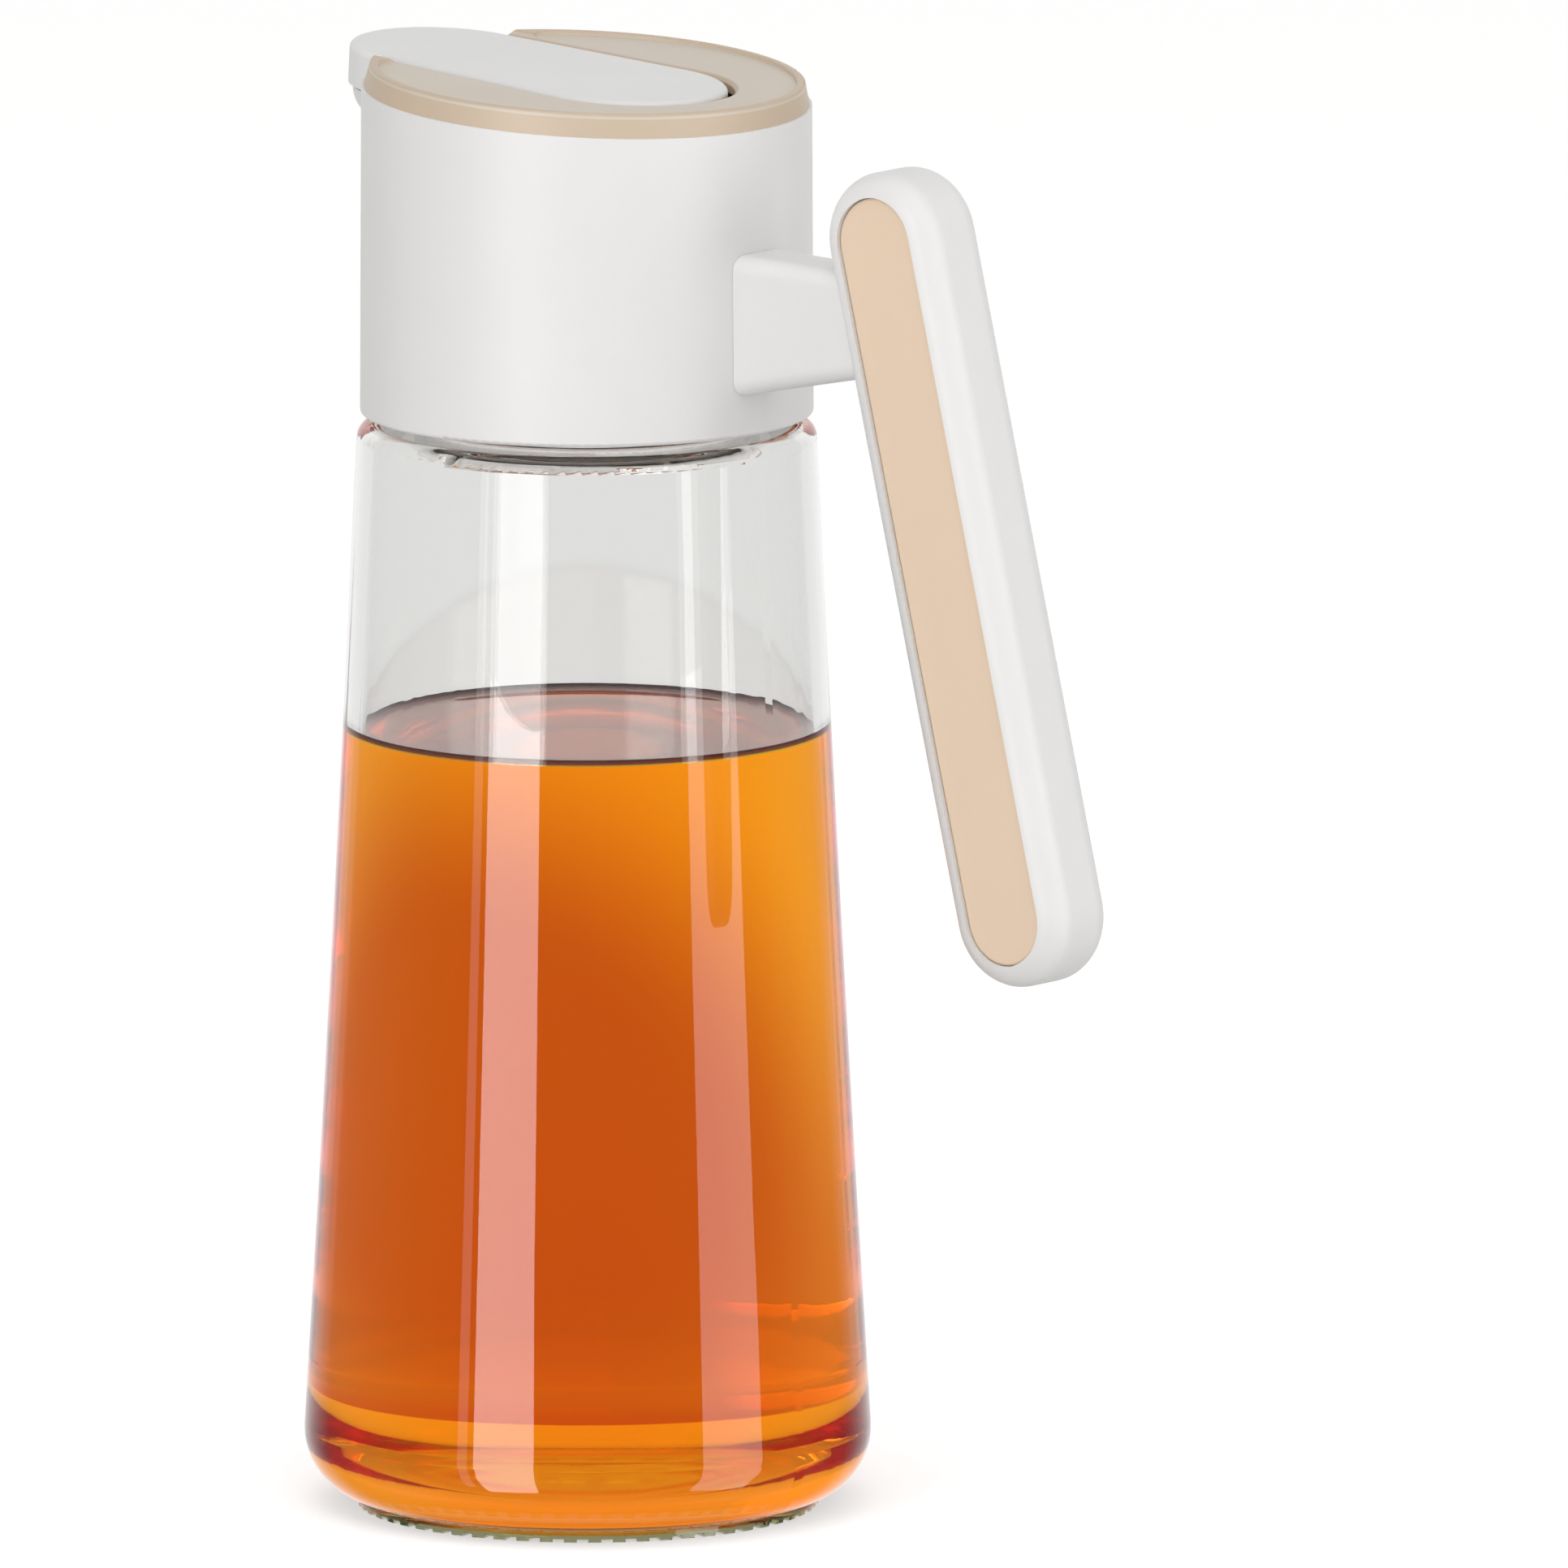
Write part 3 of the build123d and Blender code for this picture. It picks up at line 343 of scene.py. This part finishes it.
# Painted shade: the mask of the oil's dark upturned edge.
edge_shade_mask = add(
    tree,
    "ShaderNodeMapRange",
    {"Value": height, "From Min": edge_from, "From Max": edge_full},
    interpolation_type="SMOOTHSTEP",
)
clear = add(
    tree,
    "ShaderNodeBsdfPrincipled",
    {
        "Base Color": mixed(tree, edge_shade_mask.outputs[0], calm, painted_edge_shade),
        "Roughness": 0.0,
        "IOR": 1.47,
        "Transmission Weight": 1.0,
        "Specular Tint": mixed(tree, free.outputs[0], no_shine, surface_shine),
    },
)
depth = add(tree, "ShaderNodeVolumeAbsorption", {"Color": (0.995, 0.81, 0.0, 1.0), "Density": 95.0})
add(tree, "ShaderNodeOutputMaterial", {"Surface": clear.outputs[0], "Volume": depth.outputs[0]})
print("Finish:", amber.name)

# %% [markdown]
# ## Moulded plastic
# The white and beige pieces are injection-moulded ABS from a mould with a fine spark-eroded texture, which gives a
# satin sheen instead of a mirror. The real grain is about 0.1 mm, too fine to show at this distance, so it is drawn
# at about 0.4 mm and very shallow. A slow change in tone and roughness keeps large faces from looking computer-flat.


# %% Moulded plastic
def moulded_plastic(name, colour, shade, roughness, grain=0.4, depth=0.012, tint=None):
    """Satin plastic: colour and shade are its two tones, grain and depth its texture in millimetres. tint may change
    the tone: it takes the tree, the place on the piece and the tone, and gives a new tone."""
    made, tree = new_material(name)
    place = add(tree, "ShaderNodeTexCoord").outputs["Object"]
    cloud = add(tree, "ShaderNodeTexNoise", {"Vector": place, "Scale": 60.0, "Detail": 3.0}).outputs[0]
    tone = mixed(tree, cloud, linear(colour), linear(shade))
    if tint:
        tone = tint(tree, place, tone)
    sheen = add(
        tree, "ShaderNodeMapRange", {"Value": cloud, "To Min": roughness - 0.05, "To Max": roughness + 0.05}
    )
    texture = add(tree, "ShaderNodeTexNoise", {"Vector": place, "Scale": 1 / (grain * mm), "Detail": 2.0})
    bump = add(tree, "ShaderNodeBump", {"Height": texture.outputs[0], "Distance": depth * mm, "Strength": 1.0})
    skin = add(
        tree,
        "ShaderNodeBsdfPrincipled",
        {"Base Color": tone, "Roughness": sheen.outputs[0], "IOR": 1.53, "Normal": bump.outputs[0]},
    )
    add(tree, "ShaderNodeOutputMaterial", {"Surface": skin.outputs[0]})
    print("Finish:", name)
    return made


white_abs = moulded_plastic("spark_textured_white_ABS", "#EEEDEC", "#EAE9E8", 0.42)
inner_white = moulded_plastic("plain_moulded_white_PP", "#E6E6E3", "#E1E1DE", 0.38, depth=0.006)
beige_inlay = moulded_plastic("fine_textured_sand_ABS", "#F1D8BD", "#EED4B9", 0.46)
silicone = moulded_plastic("moulded_white_silicone", "#E4E6E6", "#DDE0E0", 0.55, depth=0.008)

# %% [markdown]
# The cover is the same satin plastic in beige. Its rim keeps the warmer beige, and the sunk floor inside the rim is
# painted a paler grey-beige: a painted sheen, where the flat floor catches the pale room at a grazing angle. The floor
# is found by its height over the sloping plane on which the cover sits.

# %% Beige cover
seam_slope = radians(3.43)
seam_origin = Vector((0, 0, 214.0 * mm))
seam_up = Vector((sin(seam_slope), 0, cos(seam_slope)))
sunk_from, sunk_to = 2.75, 3.15  # millimetres over the seam plane


def painted_floor_sheen(tree, place, tone):
    """Paints a paler tone, a painted sheen, on the sunk floor where the place is at its height, and elsewhere gives the
    tone as it was.
    """
    rise = add(tree, "ShaderNodeVectorMath", {0: place, 1: seam_up}, operation="DOT_PRODUCT").outputs["Value"]
    base = seam_origin.dot(seam_up)
    over = add(tree, "ShaderNodeMath", {0: rise, 1: base + sunk_from * mm}, operation="GREATER_THAN")
    under = add(tree, "ShaderNodeMath", {0: rise, 1: base + sunk_to * mm}, operation="LESS_THAN")
    floor_sheen_mask = add(tree, "ShaderNodeMath", {0: over.outputs[0], 1: under.outputs[0]}, operation="MULTIPLY")
    # Painted sheen: the sunk floor gets a paler grey-beige colour.
    return mixed(tree, floor_sheen_mask.outputs[0], tone, linear("#D9CDBD"))


beige_cover = moulded_plastic("spark_textured_beige_ABS", "#D3BFA8", "#CFBBA3", 0.42, tint=painted_floor_sheen)

# %% [markdown]
# ## Steel
# The counterweight and the hinge pin are turned steel: the tool leaves fine rings round them. The screws are zinc
# plated, a little bluer and smoother.


# %% Steel
def turned_steel(name, colour, shade, roughness, ring_pitch, depth):
    """Bare or plated steel with the tool's rings across the Y axis, at a pitch and depth in millimetres."""
    made, tree = new_material(name)
    place = add(tree, "ShaderNodeTexCoord").outputs["Object"]
    cloud = add(tree, "ShaderNodeTexNoise", {"Vector": place, "Scale": 150.0, "Detail": 3.0}).outputs[0]
    rings = add(
        tree,
        "ShaderNodeTexWave",
        {"Vector": place, "Scale": 0.314 / (ring_pitch * mm), "Distortion": 0.4},
        bands_direction="Y",
    )
    bump = add(tree, "ShaderNodeBump", {"Height": rings.outputs[0], "Distance": depth * mm, "Strength": 0.6})
    skin = add(
        tree,
        "ShaderNodeBsdfPrincipled",
        {
            "Base Color": mixed(tree, cloud, linear(colour), linear(shade)),
            "Metallic": 1.0,
            "Roughness": roughness,
            "Normal": bump.outputs[0],
        },
    )
    add(tree, "ShaderNodeOutputMaterial", {"Surface": skin.outputs[0]})
    print("Finish:", name)
    return made


bar_steel = turned_steel("turned_bar_steel", "#B4B4B2", "#A5A5A4", 0.28, 0.3, 0.01)
zinc = turned_steel("zinc_plated_steel", "#C3C6CA", "#B2B6BC", 0.3, 0.5, 0.004)

# %% Give each CAD node its finish
finishes = {
    glass: ["glass_bottle"],
    white_abs: ["collar", "lid_flap", "handle_frame"],
    inner_white: ["threaded_cap", "pourer", "lid_carrier"],
    beige_cover: ["cover"],
    beige_inlay: ["handle_inlay_left", "handle_inlay_right"],
    silicone: ["neck_gasket", "plug_ring", "air_valve", "spout_seal"],
    bar_steel: ["counterweight", "hinge_pin"],
}
for finish, names in finishes.items():
    for name in names:
        for held in nodes[name].material_slots:
            held.material = finish
    print(f"{finish.name}: {', '.join(names)}")

# %% [markdown]
# ## Pieces made with Geometry Nodes
# The oil is one outline turned round, and the screws are one screw set down in several places. Both follow a rule, so a
# small node tree makes each of them. A tree has named inputs for its sizes, like a drawing with dimensions. The
# first helper starts such a tree. The second runs it on a start mesh, keeps the result as a plain mesh, sets the
# body that the piece moves with, and hides the CAD node that it stands for.


# %% Geometry Nodes helpers
def new_tree(name, sizes):
    """A geometry tree with named inputs, given as name and kind of socket, and its input and output sockets."""
    tree = bpy.data.node_groups.new(name, "GeometryNodeTree")
    tree.interface.new_socket("Geometry", in_out="INPUT", socket_type="NodeSocketGeometry")
    tree.interface.new_socket("Geometry", in_out="OUTPUT", socket_type="NodeSocketGeometry")
    for label, kind in sizes.items():
        tree.interface.new_socket(label, in_out="INPUT", socket_type=f"NodeSocket{kind}")
    return tree, tree.nodes.new("NodeGroupInput").outputs, tree.nodes.new("NodeGroupOutput").inputs


def math(tree, operation, *values):
    """One step of arithmetic in a geometry tree."""
    return add(tree, "ShaderNodeMath", dict(enumerate(values)), operation=operation).outputs[0]


def made_by(tree, name, start, sizes, body, node):
    """Runs a tree on a start mesh, and keeps the result as a plain piece that stands for a CAD node."""
    piece = bpy.data.objects.new(name, start)
    scene.collection.objects.link(piece)
    run = piece.modifiers.new("tree", "NODES")
    run.node_group = tree
    for socket in tree.interface.items_tree:
        if socket.in_out == "INPUT" and socket.name in sizes:
            run[socket.identifier] = sizes[socket.name]
    finished = piece.evaluated_get(bpy.context.evaluated_depsgraph_get())
    whole = bpy.data.meshes.new_from_object(finished)
    piece.modifiers.remove(run)
    piece.data = whole
    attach(piece, body)
    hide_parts(node)
    print(f"{name}: {len(whole.polygons)} faces")
    return piece


# %% [markdown]
# ## The oil in the bottle
# Oil wets glass: there is no air between them, and the oil seems to reach the very edge of the bottle. The CAD
# solid stands a hair inside the glass, so here the oil is turned again on the bottle's own curve, a little larger,
# so that its skin lies inside the glass. At the top it creeps up the wall in a meniscus, which is the dark line in
# the photograph. First the outline is worked out as radius against height.

# %% Oil outline
heel_height, heel_radius = 12.0, 42.65
shoulder_height, shoulder_radius, wall_sag = 162.2, 34.55, 0.3
glass_wall, floor_height, floor_crown, inner_corner = 2.6, 5.0, 1.2, 8.0
wetting = 0.15  # how far the oil's skin reaches into the glass
corner_spare = 0.35  # and further in the corner, which is a little wider than a quarter of a circle
oil_level = 118.0
meniscus_rise, meniscus_length, meniscus_reach = 0.9, 0.9, 8.0


def wall_radius(height):
    """The radius of the bottle's inside at a height, in millimetres."""
    share = (height - heel_height) / (shoulder_height - heel_height)
    return heel_radius + (shoulder_radius - heel_radius) * share - 4 * wall_sag * share * (1 - share) - glass_wall


def steps(count, first=0):
    """Shares from 0 to 1, in so many equal steps."""
    return [i / count for i in range(first, count + 1)]


low = floor_height + inner_corner
edge = oil_level + meniscus_rise
inner_edge = wall_radius(low) - inner_corner
oil_outline = [(inner_edge * s, floor_height + floor_crown * (1 - s * s) - wetting) for s in steps(12)]
for share in steps(12, first=1)[:-1]:
    turn = radians(90 * share)
    reach = inner_corner + wetting + corner_spare * sin(2 * turn)
    oil_outline.append((inner_edge + reach * sin(turn), low - reach * cos(turn)))
for share in steps(24):
    height = low + (edge - low) * share
    oil_outline.append((wall_radius(height) + wetting, height))
top_radius = oil_outline[-1][0]
for share in steps(29, first=1):
    inward = meniscus_reach * share**2
    oil_outline.append((top_radius - inward, oil_level + meniscus_rise * 2.718 ** (-inward / meniscus_length)))
oil_outline += [((top_radius - meniscus_reach) * (1 - s), oil_level) for s in steps(8, first=1)]
print(f"Oil outline: {len(oil_outline)} points, {top_radius:.1f} mm at its surface")

# %% [markdown]
# The tree starts from a flat grid: its rows are the outline's points, and its columns are turns about the Z axis.
# Each grid point looks up its row in the outline and swings round by its column. Merging closes the seam and the
# two poles. The rim of the oil stays a crisp edge, so that light is not bent by a rounding that is not there.

# %% A tree that turns an outline about the Z axis
rim_angle = 0.5  # radians: an edge that bends by more stays crisp
turning, given, made = new_tree("turned_about_Z", {"Turns": "Int", "Finish": "Material"})
rows = add(turning, "GeometryNodeAttributeDomainSize", {0: given["Geometry"]}).outputs["Point Count"]
columns = math(turning, "ADD", given["Turns"], 1)
grid = add(turning, "GeometryNodeMeshGrid", {"Vertices X": columns, "Vertices Y": rows}).outputs[0]
number = add(turning, "GeometryNodeInputIndex").outputs[0]
row = math(turning, "MODULO", number, rows)
column = math(turning, "FLOOR", math(turning, "DIVIDE", number, rows))
angle = math(turning, "MULTIPLY", column, math(turning, "DIVIDE", 2 * pi, given["Turns"]))
spot = add(turning, "GeometryNodeInputPosition").outputs[0]
drawn = add(
    turning,
    "GeometryNodeSampleIndex",
    {"Geometry": given["Geometry"], "Value": spot, "Index": row},
    data_type="FLOAT_VECTOR",
)
swung = add(
    turning,
    "ShaderNodeVectorRotate",
    {"Vector": drawn.outputs[0], "Angle": angle},
    rotation_type="Z_AXIS",
)
bent_grid = add(turning, "GeometryNodeSetPosition", {"Geometry": grid, "Position": swung.outputs[0]})
closed = add(turning, "GeometryNodeMergeByDistance", {"Geometry": bent_grid.outputs[0], "Distance": 0.001 * mm})
smooth = add(turning, "GeometryNodeSetShadeSmooth", {"Geometry": closed.outputs[0]})
bend = add(turning, "GeometryNodeInputMeshEdgeAngle").outputs["Unsigned Angle"]
crisp = add(
    turning,
    "GeometryNodeSetShadeSmooth",
    {"Geometry": smooth.outputs[0], "Selection": math(turning, "GREATER_THAN", bend, rim_angle), "Shade Smooth": False},
    domain="EDGE",
)
plain = add(turning, "GeometryNodeRealizeInstances", {"Geometry": crisp.outputs[0]})
coated = add(turning, "GeometryNodeSetMaterial", {"Geometry": plain.outputs[0], "Material": given["Finish"]})
turning.links.new(coated.outputs[0], made[0])

# %% Oil
profile = bpy.data.meshes.new("oil_outline")
profile.from_pydata([(radius * mm, 0, height * mm) for radius, height in oil_outline], [], [])
made_by(turning, "oil_in_bottle", profile, {"Turns": 192, "Finish": amber}, "bottle", "oil")

# %% [markdown]
# ## Screws
# The head is held together by small screws for plastic: a thin sharp thread on a slim core, a domed head and a cross
# recess. The thread is a rule: the radius grows into a ridge wherever height and angle come to a whole pitch. The
# recess is cut by two crossed wedges. Four screws hold the cap, two the lid and two the handle. They differ in size
# and in the way they lean, so these are the tree's inputs, and the places are the points of the start mesh.

# %% A tree that makes screws at points
shank_sides, rings_per_turn = 24, 12.0
ridge_slope = 4.0  # the larger, the narrower the thread's ridge
tip_share = 0.5  # of the shank's radius
lengths = ["Shank Radius", "Length", "Head Radius", "Head Height", "Pitch", "Thread Depth", "Recess", "Lean"]
screw_tree, given, made = new_tree("screws_at_points", {**dict.fromkeys(lengths, "Float"), "Finish": "Material"})
half_length = math(screw_tree, "DIVIDE", given["Length"], 2.0)
turns = math(screw_tree, "DIVIDE", given["Length"], given["Pitch"])
bar = add(
    screw_tree,
    "GeometryNodeMeshCylinder",
    {
        "Vertices": shank_sides,
        "Side Segments": math(screw_tree, "MULTIPLY", turns, rings_per_turn),
        "Radius": given["Shank Radius"],
        "Depth": given["Length"],
    },
).outputs["Mesh"]
at = add(screw_tree, "ShaderNodeSeparateXYZ", {0: add(screw_tree, "GeometryNodeInputPosition").outputs[0]}).outputs
tall = math(screw_tree, "ADD", at[2], half_length)
angle = math(screw_tree, "DIVIDE", math(screw_tree, "ARCTAN2", at[1], at[0]), 2 * pi)
turned = math(screw_tree, "DIVIDE", tall, given["Pitch"])
wound = math(screw_tree, "FRACT", math(screw_tree, "SUBTRACT", turned, angle))
off_crest = math(screw_tree, "ABSOLUTE", math(screw_tree, "SUBTRACT", wound, 0.5))
hollow = math(screw_tree, "MINIMUM", math(screw_tree, "MULTIPLY", off_crest, ridge_slope), 1.0)
share = math(screw_tree, "DIVIDE", given["Thread Depth"], given["Shank Radius"])
girth = math(screw_tree, "SUBTRACT", 1.0, math(screw_tree, "MULTIPLY", hollow, share))
tip = add(
    screw_tree,
    "ShaderNodeMapRange",
    {
        "Value": tall,
        "From Min": math(screw_tree, "SUBTRACT", given["Length"], given["Shank Radius"]),
        "From Max": given["Length"],
        "To Min": 1.0,
        "To Max": tip_share,
    },
).outputs[0]
slim = math(screw_tree, "MULTIPLY", girth, tip)
moved = add(
    screw_tree,
    "ShaderNodeCombineXYZ",
    {0: math(screw_tree, "MULTIPLY", at[0], slim), 1: math(screw_tree, "MULTIPLY", at[1], slim), 2: tall},
)
shank = add(screw_tree, "GeometryNodeSetPosition", {"Geometry": bar, "Position": moved.outputs[0]}).outputs[0]

# %% [markdown]
# The head starts as a short cylinder below the seat. Its rings are drawn in towards the driver's side, which makes
# the dome, and two crossed wedges are cut out of it.

# %% Domed head with a cross recess
head_sides, head_rings = 40, 8
dome_power, dome_share = 2.5, 0.3  # how late and how far the head draws in
wing_share, wedge_height, wedge_taper = 0.28, 1.3, 0.5
crisp_angle = 0.6  # radians
button = add(
    screw_tree,
    "GeometryNodeMeshCylinder",
    {
        "Vertices": head_sides,
        "Side Segments": head_rings,
        "Radius": given["Head Radius"],
        "Depth": given["Head Height"],
    },
).outputs["Mesh"]
half_head = math(screw_tree, "DIVIDE", given["Head Height"], 2.0)
up_share = math(screw_tree, "DIVIDE", math(screw_tree, "ADD", at[2], half_head), given["Head Height"])
fall = math(screw_tree, "POWER", math(screw_tree, "SUBTRACT", 1.0, up_share), dome_power)
dome = math(screw_tree, "SUBTRACT", 1.0, math(screw_tree, "MULTIPLY", fall, dome_share))
domed = add(
    screw_tree,
    "ShaderNodeCombineXYZ",
    {
        0: math(screw_tree, "MULTIPLY", at[0], dome),
        1: math(screw_tree, "MULTIPLY", at[1], dome),
        2: math(screw_tree, "SUBTRACT", at[2], half_head),
    },
)
knob = add(screw_tree, "GeometryNodeSetPosition", {"Geometry": button, "Position": domed.outputs[0]}).outputs[0]
wing = math(screw_tree, "MULTIPLY", given["Recess"], wing_share)
deep = math(screw_tree, "MULTIPLY", given["Head Height"], wedge_height)
wedges = []
for size in ((given["Recess"], wing, deep), (wing, given["Recess"], deep)):
    edges = add(screw_tree, "ShaderNodeCombineXYZ", dict(enumerate(size)))
    block = add(screw_tree, "GeometryNodeMeshCube", {"Size": edges.outputs[0]}).outputs["Mesh"]
    upper = math(screw_tree, "GREATER_THAN", at[2], 0.0)
    pinch = math(screw_tree, "SUBTRACT", 1.0, math(screw_tree, "MULTIPLY", upper, wedge_taper))
    shaped = add(
        screw_tree,
        "ShaderNodeCombineXYZ",
        {
            0: math(screw_tree, "MULTIPLY", at[0], pinch),
            1: math(screw_tree, "MULTIPLY", at[1], pinch),
            2: math(screw_tree, "SUBTRACT", at[2], given["Head Height"]),
        },
    )
    wedges.append(add(screw_tree, "GeometryNodeSetPosition", {"Geometry": block, "Position": shaped.outputs[0]}))
cut = add(
    screw_tree,
    "GeometryNodeMeshBoolean",
    {"Mesh 1": knob, "Mesh 2": [wedge.outputs[0] for wedge in wedges]},
    operation="DIFFERENCE",
)
screw = add(screw_tree, "GeometryNodeJoinGeometry", {0: [shank, cut.outputs["Mesh"]]})
bend = add(screw_tree, "GeometryNodeInputMeshEdgeAngle").outputs["Unsigned Angle"]
smooth = add(screw_tree, "GeometryNodeSetShadeSmooth", {"Geometry": screw.outputs[0]})
crisp = add(
    screw_tree,
    "GeometryNodeSetShadeSmooth",
    {
        "Geometry": smooth.outputs[0],
        "Selection": math(screw_tree, "GREATER_THAN", bend, crisp_angle),
        "Shade Smooth": False,
    },
    domain="EDGE",
)
leaning = add(screw_tree, "ShaderNodeCombineXYZ", {1: given["Lean"]})
turn = add(screw_tree, "FunctionNodeEulerToRotation", {0: leaning.outputs[0]})
placed = add(
    screw_tree,
    "GeometryNodeInstanceOnPoints",
    {"Points": given["Geometry"], "Instance": crisp.outputs[0], "Rotation": turn.outputs[0]},
)
plain = add(screw_tree, "GeometryNodeRealizeInstances", {"Geometry": placed.outputs[0]})
coated = add(screw_tree, "GeometryNodeSetMaterial", {"Geometry": plain.outputs[0], "Material": given["Finish"]})
screw_tree.links.new(coated.outputs[0], made[0])

# %% [markdown]
# The cap's screws stand upright on a circle. The lid's screws stand square to the sloping seam plane. The handle's
# screws lie level and point into the bracket. Their seats are the places where the CAD model has them.

# %% Screws
cap_circle, cap_seat, cap_angles = 29.8, 186.4, (50, 130, 230, 310)
lid_x, lid_y, lid_seat = -9.0, 6.0, -3.4
handle_seat, handle_heights = 32.2, (177.2, 184.0)
along_seam = Vector((cos(seam_slope), 0, -sin(seam_slope)))
lid_foot = seam_origin + along_seam * lid_x * mm + seam_up * lid_seat * mm
screw_sets = {
    "cap_screws": (
        [(cap_circle * mm * cos(radians(a)), cap_circle * mm * sin(radians(a)), cap_seat * mm) for a in cap_angles],
        (1.1, 10.0, 1.9, 1.6, 0.9, 0.28, 1.9, 0.0),
        "head",
    ),
    "lid_screws": (
        [(lid_foot.x, side * lid_y * mm, lid_foot.z) for side in (-1, 1)],
        (0.9, 4.0, 1.7, 1.1, 0.7, 0.22, 1.6, seam_slope),
        "lid",
    ),
    "handle_screws": (
        [(handle_seat * mm, 0, height * mm) for height in handle_heights],
        (1.5, 13.0, 2.3, 1.5, 1.1, 0.35, 2.3, radians(90)),
        "head",
    ),
}
for name, (places, numbers, body) in screw_sets.items():
    points = bpy.data.meshes.new(f"{name}_places")
    points.from_pydata(places, [], [])
    sizes = {label: number * mm for label, number in zip(lengths[:-1], numbers[:-1])}
    sizes.update({"Lean": numbers[-1], "Finish": zinc})
    made_by(screw_tree, f"{name}_threaded", points, sizes, body, name)
